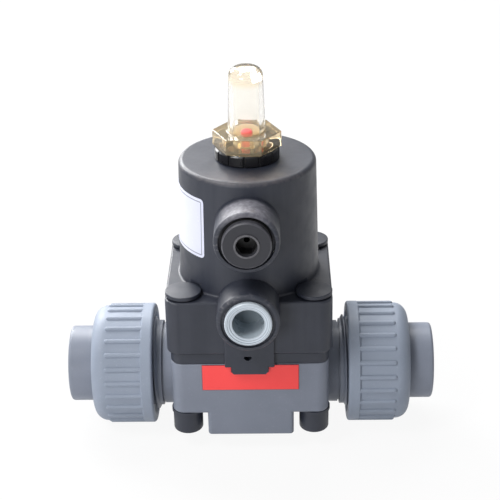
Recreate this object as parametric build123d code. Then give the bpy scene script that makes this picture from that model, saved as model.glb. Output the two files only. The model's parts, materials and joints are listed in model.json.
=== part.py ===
from build123d import *
import math
import os

# Pneumatic diaphragm valve with true-union socket ends, closed by springs.
# Millimetres. Origin at the centre of the foot's bottom face, +X along the flow,
# +Z up along the stem, and the air ports face -Y.

os.makedirs("parts", exist_ok=True)

# Flow line
flow_axis_z = 14.7
passage_radius = 7.5
pipe_diameter = 20.0
socket_clearance = 0.1
socket_depth = 16.0
socket_mouth_chamfer = 0.6
tail_radius = 13.35
tail_edge_round = 1.0
tail_shoulder = 0.4

# Valve body
body_half_x = 26.85
body_half_y = 25.0
body_corner = 4.0
body_top_round = 0.4
body_bottom_round = 1.0
flange_under_z = 8.75
body_top_z = 28.45
foot_cap_gap = 2.0
foot_corner = 1.2
foot_edge_round = 0.8
neck_radius = 14.45
neck_length = 3.65
thread_relief_width = 0.7
thread_relief_radius = 13.9
thread_root_radius = 15.15
thread_crest_radius = 16.6
thread_length = 12.8
body_end_chamfer = 0.6

# Weir and diaphragm chamber
bowl_radius = 15.4
bowl_depth = 12.0
rise_start_x = 17.4
rise_bend_radius = 10.0
rise_angle = 60.0
rise_run = 5.0

# Union nuts
nut_radius = 21.3
nut_engagement = 10.1
nut_length = 21.6
nut_flange_width = 4.3
nut_edge_chamfer = 0.5
nut_inner_round = 0.9
nut_mouth_chamfer = 1.8
nut_rib_height = 0.75
nut_rib_radius = 0.9
nut_rib_count = 26
nut_rib_length = 12.4
nut_shoulder_round = 4.6
nut_bore_clearance = 0.3
thread_clearance = 0.1
left_rib_phase = 11.3
right_rib_phase = 1.65
view_elevation = 26.0
tail_collar_radius = 14.85
tail_collar_width = 3.3
tail_collar_gap = 0.1
union_face_gap = 0.3

# Seals
seal_gap = 0.05
soft_gap = 0.25
union_seal_mean_radius = 11.4
union_seal_section = 1.3
union_groove_depth = 2.8

# Flange bolts, size M5
bolt_inset_x = 4.95
bolt_inset_y = 5.55
bolt_radius = 2.5
bolt_length = 40.0
bolt_head_radius = 4.25
bolt_head_height = 5.0
bolt_socket_flats = 4.0
bolt_socket_depth = 2.6
bolt_hole_clearance = 0.25
washer_radius = 4.8
washer_thickness = 1.0
bolt_nut_flats = 8.0
bolt_nut_height = 4.0
bolt_nut_turn = 30.0
nut_pocket_clearance = 0.15
nut_pocket_depth = 5.0
bolt_seat_z = 42.0
counterbore_radius = 5.0

# Bolt caps
bottom_cap_radius = 5.1
bottom_cap_z = 0.05
bottom_cap_round = 0.9
bottom_cap_rim_radius = 5.5
bottom_cap_rim_height = 1.2
bottom_cap_floor = 1.8
bottom_cap_clearance = 0.2
top_cap_radius = 6.05
top_cap_top_z = 54.35
top_cap_gap = 0.5
top_cap_rim = 1.2
top_cap_edge_round = 0.35
top_cap_plug_length = 2.8
top_cap_plug_wall = 0.9
cap_fit = 0.1

# Foot inserts, size M6
insert_spacing = 25.0
insert_radius = 3.9
insert_length = 9.0
insert_bore_radius = 2.5
insert_groove_depth = 0.4

# Intermediate plate
plate_top_z = 32.55
spigot_top_z = 44.0
plate_top_round = 0.3
plate_bottom_round = 0.6
spigot_clearance = 0.1
rim_recess_wall = 2.7
rim_recess_depth = 2.5
chamber_radius = 13.5
chamber_top_z = 37.6
gland_radius = 6.8
gland_depth = 4.0
plate_seal_section = 1.2
plate_seal_z = 38.5
column_half_x = 8.4
column_proud = 2.1
column_edge_round = 0.5
tab_half_x = 6.15
tab_bottom_z = 25.65
tab_gap = 0.1
tab_chamfer = 0.8
weep_x = -0.6
weep_half_width = 1.25
weep_depth = 1.6

# Actuator housing
base_overhang_x = 1.1
base_overhang_y = 0.85
base_corner = 4.2
base_top_round = 0.7
base_bottom_round = 1.1
base_top_z = 52.4
bell_low_wall = 3.9
bell_high_wall = 3.0
bell_top_z = 93.95
bell_foot_round = 0.8
bell_top_round = 1.6
bell_ceiling_thickness = 3.95
cylinder_radius = 20.0
bell_hole_clearance = 0.1
cap_pocket_clearance = 0.25

# Air ports
lower_port_z = 49.75
upper_port_z = 78.75
lower_boss_radius = 10.5
upper_boss_radius = 10.65
lower_boss_reach = 11.35
upper_boss_reach = 11.55
boss_edge_round = 1.1
boss_rim_width = 1.45
lower_recess_depth = 0.85
upper_recess_depth = 2.25
port_thread_radius = 6.58
port_thread_wall = 2.6
port_pilot_radius = 3.2

# Port plugs
plug_fit = 0.08
port_plug_flange_radius = 7.8
port_plug_edge_chamfer = 0.3
port_plug_step_count = 3
port_plug_step = 0.25
port_plug_proud = 0.85
port_plug_bore_radius = 5.3
port_plug_length = 12.0
port_plug_floor = 1.5
vent_plug_radius = 8.0
vent_plug_edge_chamfer = 0.4
vent_plug_proud = 1.9
vent_plug_length = 12.6
vent_ring_radius = 4.15
vent_ring_height = 0.4
vent_bore_radius = 3.5
vent_bore_depth = 1.4
vent_socket_flats = 6.0
vent_socket_depth = 5.0
vent_hole_radius = 1.0
vent_seal_section = 0.8

# Diaphragm and compressor
diaphragm_thickness = 2.2
diaphragm_gap = 0.3
stud_head_radius = 4.0
stud_head_height = 1.0
stud_radius = 2.0
stud_top_z = 24.0
stud_pocket_depth = 0.95
compressor_top_z = 26.0
compressor_hub_radius = 6.0
compressor_hub_top_z = 31.0
compressor_slot_count = 8
compressor_slot_width = 3.0
compressor_slot_start = 7.0
compressor_slot_floor_z = 22.5
compressor_pin_radius = 1.0
compressor_pin_z = 28.4

# Stem and piston
stem_radius = 4.0
stem_bottom_z = 24.4
stem_shoulder_z = 52.0
stem_thread_radius = 3.0
stem_thread_end = 1.5
running_gap = 0.05
stem_seal_section = 1.1
piston_hub_height = 4.0
piston_web = 4.0
piston_height = 7.0
piston_clearance = 0.3
piston_hub_radius = 9.0
piston_boss_radius = 6.6
piston_boss_height = 1.0
piston_rim_width = 3.8
piston_groove_depth = 2.5
piston_groove_width = 2.9
piston_groove_rise = 3.2
piston_seal_section = 1.25
piston_nut_flats = 10.0
piston_nut_height = 5.0

# Closing springs
outer_spring_radius = 14.0
outer_spring_wire = 1.1
outer_spring_half_turns = 9
inner_spring_radius = 9.6
inner_spring_wire = 0.8
inner_spring_half_turns = 13
spring_ground_share = 0.4

# Position indicator
indicator_radius = 2.0
indicator_top_z = 103.5
indicator_pin_radius = 1.2
indicator_pin_length = 5.5
collar_radius = 10.8
collar_height = 4.05
collar_edge_chamfer = 0.5
collar_flute_count = 13
collar_flute_radius = 0.45
collar_flute_turn = -94.6
collar_seal_recess_radius = 8.2
collar_seal_recess_depth = 1.75
sight_seal_mean_radius = 7.15
sight_seal_section = 0.8
sight_hex_flats = 20.0
sight_hex_height = 5.35
sight_hex_edge_round = 0.35
sight_hex_turn = -5.0
sight_tube_foot_round = 0.6
sight_tube_bottom_radius = 6.25
sight_tube_top_radius = 5.6
sight_top_z = 125.4
sight_top_round = 3.2
sight_spigot_radius = 6.0
sight_spigot_bottom_z = 91.0
sight_guide_radius = 2.6
sight_guide_top_z = 99.0
sight_bore_radius = 4.3
sight_bore_top_z = 121.0

# Sizes that follow from the ones above
thread_relief_x = body_half_x + neck_length
thread_start_x = thread_relief_x + thread_relief_width
body_end_x = thread_start_x + thread_length
bowl_centre_z = body_top_z - bowl_depth + bowl_radius
nut_thread_radius = thread_crest_radius + thread_clearance
nut_inner_x = body_end_x - nut_engagement
nut_outer_x = nut_inner_x + nut_length
nut_valley_radius = nut_radius - nut_rib_height
tail_collar_inner_x = body_end_x + union_face_gap
tail_collar_outer_x = tail_collar_inner_x + tail_collar_width
nut_bore_bottom_x = tail_collar_outer_x + tail_collar_gap
half_length = tail_collar_outer_x + tail_shoulder + socket_depth
socket_radius = pipe_diameter / 2 + socket_clearance
bolt_hole_radius = bolt_radius + bolt_hole_clearance
bolt_x = body_half_x - bolt_inset_x
bolt_y = body_half_y - bolt_inset_y
foot_half_x = bolt_x - bottom_cap_radius - foot_cap_gap
base_half_x = body_half_x + base_overhang_x
base_half_y = body_half_y + base_overhang_y
rim_recess_radius = body_half_y - rim_recess_wall
diaphragm_rim_radius = rim_recess_radius - diaphragm_gap
plate_front_y = -body_half_y - column_proud
bell_bottom_radius = cylinder_radius + bell_low_wall
bell_top_radius = cylinder_radius + bell_high_wall
lower_boss_face_y = -bell_bottom_radius - lower_boss_reach
upper_boss_face_y = -bell_bottom_radius - upper_boss_reach
port_plug_face_y = lower_boss_face_y - port_plug_proud
vent_plug_face_y = upper_boss_face_y - vent_plug_proud
port_thread_bottom_y = -cylinder_radius - port_thread_wall
lower_recess_radius = lower_boss_radius - boss_rim_width
upper_recess_radius = upper_boss_radius - boss_rim_width
piston_radius = cylinder_radius - piston_clearance
piston_recess_radius = piston_radius - piston_rim_width
piston_groove_radius = piston_radius - piston_groove_depth
piston_disc_z = stem_shoulder_z + piston_hub_height
piston_rim_top_z = piston_disc_z + piston_height
spring_seat_z = piston_disc_z + piston_web
piston_boss_top_z = spring_seat_z + piston_boss_height
piston_groove_z = piston_disc_z + piston_groove_rise
stem_top_z = piston_boss_top_z + piston_nut_height + stem_thread_end
hex_base_z = bell_top_z + collar_height
hex_top_z = hex_base_z + sight_hex_height
bell_ceiling_z = bell_top_z - bell_ceiling_thickness
plate_seal_mean_radius = cylinder_radius - plate_seal_section - 2 * seal_gap
corner_places = [(sx * bolt_x, sy * bolt_y) for sx in (-1, 1) for sy in (-1, 1)]


def save(name, *solids):
    shape = solids[0] if len(solids) == 1 else Compound(children=list(solids))
    export_step(shape, f"parts/{name}.step")


def turned(points):
    # Points are (radius, z).
    return revolve(Plane.XZ * make_face(Polyline(*points, close=True)), axis=Axis.Z)


def turned_on_flow(points, side):
    # Points are (distance from the middle, radius); side is -1 on the left and 1 on the right.
    profile = make_face(Polyline(*[(side * x, r) for x, r in points], close=True))
    return Pos(0, 0, flow_axis_z) * revolve(profile, axis=Axis.X)


def upright(radius, low, high, place=(0, 0)):
    return Pos(place[0], place[1], (low + high) / 2) * Cylinder(radius, high - low)


def turned_on_port(points, z):
    # Points are (radius, y).
    return Pos(0, 0, z) * revolve(make_face(Polyline(*points, close=True)), axis=Axis.Y)


def flared_cone(bottom_radius, top_radius, low, high, flare):
    # A tapered post that opens out in a hollow arc where it stands on the face at low.
    middle = flare * (1 - math.sqrt(0.5))
    profile = make_face([
        Polyline((bottom_radius, low + flare), (top_radius, high), (0, high), (0, low - flare),
                 (bottom_radius + flare, low - flare), (bottom_radius + flare, low)),
        ThreePointArc((bottom_radius + flare, low), (bottom_radius + middle, low + middle),
                      (bottom_radius, low + flare)),
    ])
    return revolve(Plane.XZ * profile, axis=Axis.Z)


def front_column(half_x, back_y, low, high):
    depth = back_y - plate_front_y
    column = Pos(0, plate_front_y + depth / 2, (low + high) / 2) * Box(2 * half_x, depth, high - low)
    return fillet(column.edges().filter_by(Axis.Z).group_by(Axis.Y)[0], column_edge_round)


def port_cylinder(radius, y_front, y_back, z):
    return Pos(0, (y_front + y_back) / 2, z) * Rot(90, 0, 0) * Cylinder(radius, y_back - y_front)


def rounded_block(half_x, half_y, low, high, corner):
    outline = RectangleRounded(2 * half_x, 2 * half_y, corner)
    return Pos(0, 0, low) * extrude(outline, amount=high - low)


def round_rims(block, bottom_round, top_round):
    block = fillet(block.edges().filter_by(Plane.XY).group_by(Axis.Z)[0], bottom_round)
    return fillet(block.edges().filter_by(Plane.XY).group_by(Axis.Z)[-1], top_round)


def hex_prism(flats, low, high, place=(0, 0), turn=0):
    outline = RegularPolygon(flats / 2, 6, major_radius=False)
    return Pos(place[0], place[1], low) * Rot(0, 0, turn) * extrude(outline, amount=high - low)


def ring_seal(mean_radius, section, z):
    return Pos(0, 0, z) * Torus(mean_radius, section)


def flow_passage(side):
    # A level bore that bends up beside the weir and opens into the bowl.
    bend = math.radians(rise_angle)
    start = Vector(side * (body_end_x + 1), 0, flow_axis_z)
    bend_start = Vector(side * rise_start_x, 0, flow_axis_z)

    def bend_point(angle):
        x = rise_start_x - rise_bend_radius * math.sin(angle)
        return Vector(side * x, 0, flow_axis_z + rise_bend_radius * (1 - math.cos(angle)))

    bend_end = bend_point(bend)
    finish = bend_end + Vector(-side * math.cos(bend), 0, math.sin(bend)) * rise_run
    path = Wire([
        Edge.make_line(start, bend_start),
        Edge.make_three_point_arc(bend_start, bend_point(bend / 2), bend_end),
        Edge.make_line(bend_end, finish),
    ])
    section = Plane(origin=start, z_dir=bend_start - start) * Circle(passage_radius)
    return sweep(section, path=path)


def make_valve_body():
    block = rounded_block(body_half_x, body_half_y, flange_under_z, body_top_z, body_corner)
    block = round_rims(block, body_bottom_round, body_top_round)
    foot = rounded_block(foot_half_x, body_half_y, 0, flange_under_z + 1, foot_corner)
    foot = fillet(foot.edges().group_by(Axis.Z)[0], foot_edge_round)
    barrel_points = [
        (-body_end_x, 0),
        (-body_end_x, thread_root_radius - body_end_chamfer),
        (-body_end_x + body_end_chamfer, thread_root_radius),
        (-thread_start_x, thread_root_radius),
        (-thread_start_x, thread_relief_radius),
        (-thread_relief_x, thread_relief_radius),
        (-thread_relief_x, neck_radius),
    ]
    barrel_points += [(-x, r) for x, r in reversed(barrel_points)]
    barrel = turned_on_flow(barrel_points, 1)
    # The barrel's crown stands higher than the block, and is cut level where the plate lies.
    crown = rounded_block(body_half_x, body_half_y, body_top_z, body_top_z + neck_radius, body_corner)
    under = foot + barrel
    for place in corner_places:
        under -= upright(bottom_cap_rim_radius + bottom_cap_clearance, -1, flange_under_z, place)
    body = block + under - crown
    body -= Pos(0, 0, bowl_centre_z) * Sphere(bowl_radius)
    for side in (-1, 1):
        body -= flow_passage(side)
        groove_inner = union_seal_mean_radius - union_seal_section - 3 * seal_gap
        groove_outer = union_seal_mean_radius + union_seal_section + 3 * seal_gap
        body -= turned_on_flow([
            (body_end_x - union_groove_depth, groove_inner),
            (body_end_x + 1, groove_inner),
            (body_end_x + 1, groove_outer),
            (body_end_x - union_groove_depth, groove_outer),
        ], side)
    for place in corner_places:
        body -= upright(bolt_hole_radius, flange_under_z - 1, body_top_z + 1, place)
        body -= hex_prism(bolt_nut_flats + 2 * nut_pocket_clearance, flange_under_z - 1,
                          flange_under_z + nut_pocket_depth, place, bolt_nut_turn)
    for y in (-insert_spacing / 2, insert_spacing / 2):
        body -= upright(insert_radius + seal_gap, -1, insert_length + 0.5, (0, y))
    return body


def make_tailpiece(side):
    tail = turned_on_flow([
        (tail_collar_inner_x, passage_radius),
        (tail_collar_inner_x, tail_collar_radius),
        (tail_collar_outer_x, tail_collar_radius),
        (tail_collar_outer_x, tail_radius),
        (half_length, tail_radius),
        (half_length, socket_radius + socket_mouth_chamfer),
        (half_length - socket_mouth_chamfer, socket_radius),
        (half_length - socket_depth, socket_radius),
        (half_length - socket_depth, passage_radius),
    ], side)
    outer_edge = tail.edges().filter_by(GeomType.CIRCLE).filter_by(
        lambda e: abs(e.radius - tail_radius) < 0.01 and abs(abs(e.center().X) - half_length) < 0.01)
    return fillet(outer_edge, tail_edge_round)


def make_union_nut(side, phase):
    bore_radius = tail_radius + nut_bore_clearance
    flange_end = nut_inner_x + nut_flange_width
    round_start = nut_outer_x - nut_shoulder_round
    round_middle = nut_shoulder_round * (1 - math.sqrt(0.5))
    inner_middle = nut_inner_round * (1 - math.sqrt(0.5))
    profile = make_face([
        Polyline(
            (side * round_start, nut_valley_radius),
            (side * flange_end, nut_valley_radius),
            (side * flange_end, nut_radius - nut_edge_chamfer),
            (side * (flange_end - nut_edge_chamfer), nut_radius),
            (side * (nut_inner_x + nut_inner_round), nut_radius),
        ),
        ThreePointArc(
            (side * (nut_inner_x + nut_inner_round), nut_radius),
            (side * (nut_inner_x + inner_middle), nut_radius - inner_middle),
            (side * nut_inner_x, nut_radius - nut_inner_round),
        ),
        Polyline(
            (side * nut_inner_x, nut_radius - nut_inner_round),
            (side * nut_inner_x, nut_thread_radius + nut_mouth_chamfer),
            (side * (nut_inner_x + nut_mouth_chamfer), nut_thread_radius),
            (side * nut_bore_bottom_x, nut_thread_radius),
            (side * nut_bore_bottom_x, bore_radius),
            (side * nut_outer_x, bore_radius),
            (side * nut_outer_x, nut_valley_radius - nut_shoulder_round),
        ),
        ThreePointArc(
            (side * nut_outer_x, nut_valley_radius - nut_shoulder_round),
            (side * (nut_outer_x - round_middle), nut_valley_radius - round_middle),
            (side * round_start, nut_valley_radius),
        ),
    ])
    nut = revolve(profile, axis=Axis.X)
    rib_start = flange_end - nut_edge_chamfer - nut_rib_radius
    rib_end = flange_end + nut_rib_length - nut_rib_radius
    rib_height = nut_radius - nut_rib_radius
    rib = Pos(side * (rib_start + rib_end) / 2, 0, 0) * Rot(0, 90, 0) * Cylinder(
        nut_rib_radius, rib_end - rib_start)
    rib += Pos(side * rib_end, 0, 0) * Sphere(nut_rib_radius)
    # Rib angles are counted up from the line of sight, which falls towards +Y.
    for index in range(nut_rib_count):
        angle = phase + index * 360 / nut_rib_count + view_elevation
        nut += Rot(-angle, 0, 0) * Pos(0, -rib_height, 0) * rib
    return Pos(0, 0, flow_axis_z) * nut


def make_union_seal(side):
    x = body_end_x - union_groove_depth + seal_gap + union_seal_section
    return Pos(side * x, 0, flow_axis_z) * Rot(0, 90, 0) * Torus(
        union_seal_mean_radius, union_seal_section)


def make_foot_insert(y):
    insert = upright(insert_radius, 0, insert_length, (0, y))
    insert -= upright(insert_bore_radius, -1, insert_length + 1, (0, y))
    for share in (1 / 3, 2 / 3):
        groove = Cylinder(insert_radius + 1, 1.0) - Cylinder(insert_radius - insert_groove_depth, 1.0)
        insert -= Pos(0, y, insert_length * share) * groove
    return insert


def make_plate():
    plate = rounded_block(body_half_x, body_half_y, body_top_z, plate_top_z, body_corner)
    plate = round_rims(plate, plate_bottom_round, plate_top_round)
    plate += upright(cylinder_radius - spigot_clearance, body_top_z, spigot_top_z)
    plate += front_column(column_half_x, rim_recess_wall - body_half_y, body_top_z, plate_top_z)
    tab_depth = column_proud - tab_gap
    tab = Pos(0, plate_front_y + tab_depth / 2, (tab_bottom_z + body_top_z + 1) / 2) * Box(
        2 * tab_half_x, tab_depth, body_top_z + 1 - tab_bottom_z)
    tab = chamfer(tab.edges().filter_by(Axis.Y).group_by(Axis.Z)[0], tab_chamfer)
    plate += tab
    plate -= upright(rim_recess_radius, body_top_z - 1, body_top_z + rim_recess_depth)
    plate -= upright(chamber_radius, body_top_z, chamber_top_z)
    plate -= upright(stem_radius + 2 * running_gap, chamber_top_z - 1, spigot_top_z + 1)
    plate -= upright(gland_radius, spigot_top_z - gland_depth, spigot_top_z + 1)
    groove_width = 2 * plate_seal_section + 4 * seal_gap
    groove = Cylinder(cylinder_radius + 1, groove_width)
    groove -= Cylinder(plate_seal_mean_radius - plate_seal_section - seal_gap, groove_width)
    plate -= Pos(0, 0, plate_seal_z) * groove
    for place in corner_places:
        plate -= upright(bolt_hole_radius, body_top_z - 1, plate_top_z + 1, place)
    weep = Polyline(
        (weep_x - weep_half_width, plate_top_z),
        (weep_x + weep_half_width, plate_top_z),
        (weep_x + weep_half_width, plate_top_z - weep_depth / 2),
        (weep_x + weep_half_width / 3, plate_top_z - weep_depth),
        (weep_x - weep_half_width / 3, plate_top_z - weep_depth),
        (weep_x - weep_half_width, plate_top_z - weep_depth / 2),
        close=True,
    )
    weep_run = -plate_front_y - chamber_radius + 2
    plate -= Pos(0, plate_front_y - 1, 0) * extrude(Plane.XZ * make_face(weep), amount=-weep_run - 1)
    return plate


def make_housing():
    base = rounded_block(base_half_x, base_half_y, plate_top_z, base_top_z, base_corner)
    base = round_rims(base, base_bottom_round, base_top_round)
    bell = flared_cone(bell_bottom_radius, bell_top_radius, base_top_z, bell_top_z, bell_foot_round)
    bell = fillet(bell.edges().group_by(Axis.Z)[-1], bell_top_round)
    lower_boss = port_cylinder(lower_boss_radius, lower_boss_face_y, -cylinder_radius, lower_port_z)
    upper_boss = port_cylinder(upper_boss_radius, upper_boss_face_y, -cylinder_radius, upper_port_z)
    lower_boss = fillet(lower_boss.edges().group_by(Axis.Y)[0], boss_edge_round)
    upper_boss = fillet(upper_boss.edges().group_by(Axis.Y)[0], boss_edge_round)
    column = front_column(column_half_x, -cylinder_radius, plate_top_z, lower_port_z)
    housing = base + bell + lower_boss + upper_boss + column
    housing -= upright(cylinder_radius, plate_top_z - 1, bell_ceiling_z)
    housing -= upright(sight_spigot_radius + bell_hole_clearance, bell_ceiling_z - 1, bell_top_z + 1)
    for place in corner_places:
        housing -= upright(bolt_hole_radius, plate_top_z - 1, bolt_seat_z + 1, place)
        housing -= upright(counterbore_radius, bolt_seat_z, base_top_z + 1, place)
        housing -= upright(top_cap_radius + cap_pocket_clearance, base_top_z, top_cap_top_z + 1, place)
    for z, face, depth, recess in (
        (lower_port_z, lower_boss_face_y, lower_recess_depth, lower_recess_radius),
        (upper_port_z, upper_boss_face_y, upper_recess_depth, upper_recess_radius),
    ):
        housing -= port_cylinder(recess, face - 1, face + depth, z)
        housing -= port_cylinder(port_thread_radius, face - 1, port_thread_bottom_y, z)
        housing -= port_cylinder(port_pilot_radius, face, -cylinder_radius / 2, z)
    return housing


def make_flange_bolt(place):
    head_bottom = bolt_seat_z + washer_thickness
    bolt = upright(bolt_head_radius, head_bottom, head_bottom + bolt_head_height, place)
    bolt += upright(bolt_radius, head_bottom - bolt_length, head_bottom, place)
    bolt -= hex_prism(bolt_socket_flats, head_bottom + bolt_head_height - bolt_socket_depth,
                      head_bottom + bolt_head_height + 1, place)
    return bolt


def make_bolt_washer(place):
    washer = upright(washer_radius, bolt_seat_z, bolt_seat_z + washer_thickness, place)
    return washer - upright(bolt_hole_radius, bolt_seat_z - 1, bolt_seat_z + washer_thickness + 1, place)


def make_bolt_nut(place):
    top = flange_under_z + nut_pocket_depth
    nut = hex_prism(bolt_nut_flats, top - bolt_nut_height, top, place, bolt_nut_turn)
    return nut - upright(bolt_radius + running_gap, top - bolt_nut_height - 1, top + 1, place)


def make_bottom_cap(place):
    cap = upright(bottom_cap_radius, bottom_cap_z, flange_under_z, place)
    cap = fillet(cap.edges().group_by(Axis.Z)[0], bottom_cap_round)
    cap += upright(bottom_cap_rim_radius, flange_under_z - bottom_cap_rim_height, flange_under_z, place)
    return cap - upright(bolt_radius + running_gap, bottom_cap_z + bottom_cap_floor,
                         flange_under_z + 1, place)


def make_top_cap(place):
    # A disc with a rounded rim and a slightly domed top, on a hollow plug that fills the counterbore.
    rim_low = base_top_z + top_cap_gap
    rim_high = rim_low + top_cap_rim
    dome_radius = top_cap_radius - top_cap_edge_round
    dome_height = top_cap_top_z - rim_high
    sphere_radius = (dome_radius ** 2 + dome_height ** 2) / (2 * dome_height)
    dome_middle_z = top_cap_top_z - sphere_radius + math.sqrt(sphere_radius ** 2 - dome_radius ** 2 / 4)
    round_middle = top_cap_edge_round * (1 - math.sqrt(0.5))
    profile = make_face([
        Polyline((0, top_cap_top_z), (0, rim_low), (top_cap_radius, rim_low),
                 (top_cap_radius, rim_high - top_cap_edge_round)),
        ThreePointArc((top_cap_radius, rim_high - top_cap_edge_round),
                      (top_cap_radius - round_middle, rim_high - round_middle),
                      (dome_radius, rim_high)),
        ThreePointArc((dome_radius, rim_high), (dome_radius / 2, dome_middle_z), (0, top_cap_top_z)),
    ])
    cap = revolve(Plane.XZ * profile, axis=Axis.Z)
    plug_radius = counterbore_radius - cap_fit
    cap += upright(plug_radius, base_top_z - top_cap_plug_length, rim_low)
    cap -= upright(plug_radius - top_cap_plug_wall, base_top_z - top_cap_plug_length - 1, base_top_z)
    return Pos(place[0], place[1], 0) * cap


def make_port_plug():
    flange_back_y = lower_boss_face_y + lower_recess_depth - plug_fit
    end_y = port_plug_face_y + port_plug_length
    step_width = (port_plug_flange_radius - port_plug_bore_radius) / port_plug_step_count
    points = [
        (0, end_y - port_plug_floor),
        (0, end_y),
        (port_thread_radius - plug_fit, end_y),
        (port_thread_radius - plug_fit, flange_back_y),
        (port_plug_flange_radius, flange_back_y),
        (port_plug_flange_radius, port_plug_face_y + port_plug_edge_chamfer),
        (port_plug_flange_radius - port_plug_edge_chamfer, port_plug_face_y),
    ]
    # The mouth steps down in narrow rings towards the bore.
    for step in range(1, port_plug_step_count):
        radius = port_plug_flange_radius - step * step_width
        points.append((radius, port_plug_face_y + (step - 1) * port_plug_step))
        points.append((radius, port_plug_face_y + step * port_plug_step))
    points.append((port_plug_bore_radius, port_plug_face_y + (port_plug_step_count - 1) * port_plug_step))
    points.append((port_plug_bore_radius, end_y - port_plug_floor))
    return turned_on_port(points, lower_port_z)


def make_vent_plug():
    seat_y = upper_boss_face_y + upper_recess_depth
    head_back_y = seat_y - 2 * vent_seal_section - 2 * seal_gap
    end_y = vent_plug_face_y + vent_plug_length
    ring_face_y = vent_plug_face_y - vent_ring_height
    plug = turned_on_port([
        (vent_hole_radius, end_y),
        (port_thread_radius - plug_fit, end_y),
        (port_thread_radius - plug_fit, head_back_y),
        (vent_plug_radius, head_back_y),
        (vent_plug_radius, vent_plug_face_y + vent_plug_edge_chamfer),
        (vent_plug_radius - vent_plug_edge_chamfer, vent_plug_face_y),
        (vent_ring_radius, vent_plug_face_y),
        (vent_ring_radius, ring_face_y),
        (vent_bore_radius, ring_face_y),
        (vent_bore_radius, ring_face_y + vent_bore_depth),
        (vent_hole_radius, ring_face_y + vent_bore_depth),
    ], upper_port_z)
    socket = extrude(RegularPolygon(vent_socket_flats / 2, 6, major_radius=False),
                     amount=vent_socket_depth)
    return plug - Pos(0, ring_face_y + vent_bore_depth - 1, upper_port_z) * Rot(-90, 0, 0) * socket


def make_vent_plug_seal():
    seat_y = upper_boss_face_y + upper_recess_depth
    mean_radius = port_thread_radius + seal_gap + vent_seal_section
    return Pos(0, seat_y - seal_gap - vent_seal_section, upper_port_z) * Rot(90, 0, 0) * Torus(
        mean_radius, vent_seal_section)


def bowl_arc(radius, rim_z):
    # The lower part of a circle about the bowl's centre, from the axis out to rim_z.
    rim_radius = math.sqrt(radius ** 2 - (bowl_centre_z - rim_z) ** 2)
    half = math.atan2(rim_radius, bowl_centre_z - rim_z) / 2
    middle = (radius * math.sin(half), bowl_centre_z - radius * math.cos(half))
    return (0, bowl_centre_z - radius), middle, (rim_radius, rim_z)


def make_diaphragm():
    outer_radius = bowl_radius - diaphragm_gap
    rim_low = body_top_z + soft_gap / 2
    rim_high = body_top_z + rim_recess_depth - soft_gap / 2
    outer = bowl_arc(outer_radius, rim_low)
    inner = bowl_arc(outer_radius - diaphragm_thickness, rim_high)
    profile = make_face([
        ThreePointArc(*outer),
        Polyline(outer[2], (diaphragm_rim_radius, rim_low), (diaphragm_rim_radius, rim_high), inner[2]),
        ThreePointArc(*reversed(inner)),
        Line(inner[0], outer[0]),
    ])
    diaphragm = revolve(Plane.XZ * profile, axis=Axis.Z)
    pocket_z = inner[0][1] - stud_pocket_depth
    return diaphragm - upright(stud_head_radius + diaphragm_gap, pocket_z, pocket_z + 4)


def make_diaphragm_stud():
    head_z = bowl_centre_z - bowl_radius + diaphragm_gap + diaphragm_thickness - stud_pocket_depth + seal_gap
    stud = upright(stud_head_radius, head_z, head_z + stud_head_height)
    return stud + upright(stud_radius, head_z, stud_top_z)


def make_compressor():
    dome_radius = bowl_radius - 2 * diaphragm_gap - diaphragm_thickness
    arc = bowl_arc(dome_radius, compressor_top_z)
    profile = make_face([
        ThreePointArc(*arc),
        Polyline(arc[2], (compressor_hub_radius, compressor_top_z),
                 (compressor_hub_radius, compressor_hub_top_z), (0, compressor_hub_top_z), arc[0]),
    ])
    compressor = revolve(Plane.XZ * profile, axis=Axis.Z)
    slot_length = dome_radius - compressor_slot_start
    slot_top_z = compressor_top_z + 1
    slot = Pos(compressor_slot_start + slot_length / 2, 0, (compressor_slot_floor_z + slot_top_z) / 2)
    slot *= Box(slot_length, compressor_slot_width, slot_top_z - compressor_slot_floor_z)
    slot_step = 360 / compressor_slot_count
    for turn in range(compressor_slot_count):
        compressor -= Rot(0, 0, slot_step * (turn + 0.5)) * slot
    compressor -= upright(stem_radius + running_gap, stem_bottom_z - running_gap, compressor_hub_top_z + 1)
    compressor -= upright(stud_radius + running_gap, compressor_top_z - dome_radius, stem_bottom_z)
    compressor -= cross_pin(compressor_pin_radius + running_gap, compressor_hub_radius + 1)
    return compressor


def cross_pin(radius, half_span):
    return Pos(0, 0, compressor_pin_z) * Rot(0, 90, 0) * Cylinder(radius, 2 * half_span)


def make_stem():
    stem = upright(stem_radius, stem_bottom_z, stem_shoulder_z)
    stem += upright(stem_thread_radius, stem_shoulder_z, stem_top_z)
    stem -= cross_pin(compressor_pin_radius + running_gap, stem_radius + 1)
    return stem - upright(indicator_pin_radius + running_gap, stem_top_z - indicator_pin_length - 0.5,
                          stem_top_z + 1)


def make_stem_seal():
    z = spigot_top_z - gland_depth + stem_seal_section + seal_gap
    return ring_seal(stem_radius + soft_gap + stem_seal_section, stem_seal_section, z)


def make_stem_bush():
    bush_z = spigot_top_z - gland_depth + 2 * stem_seal_section + 3 * seal_gap
    bush = upright(gland_radius - seal_gap, bush_z, spigot_top_z)
    return bush - upright(stem_radius + running_gap, bush_z - 1, spigot_top_z + 1)


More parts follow.
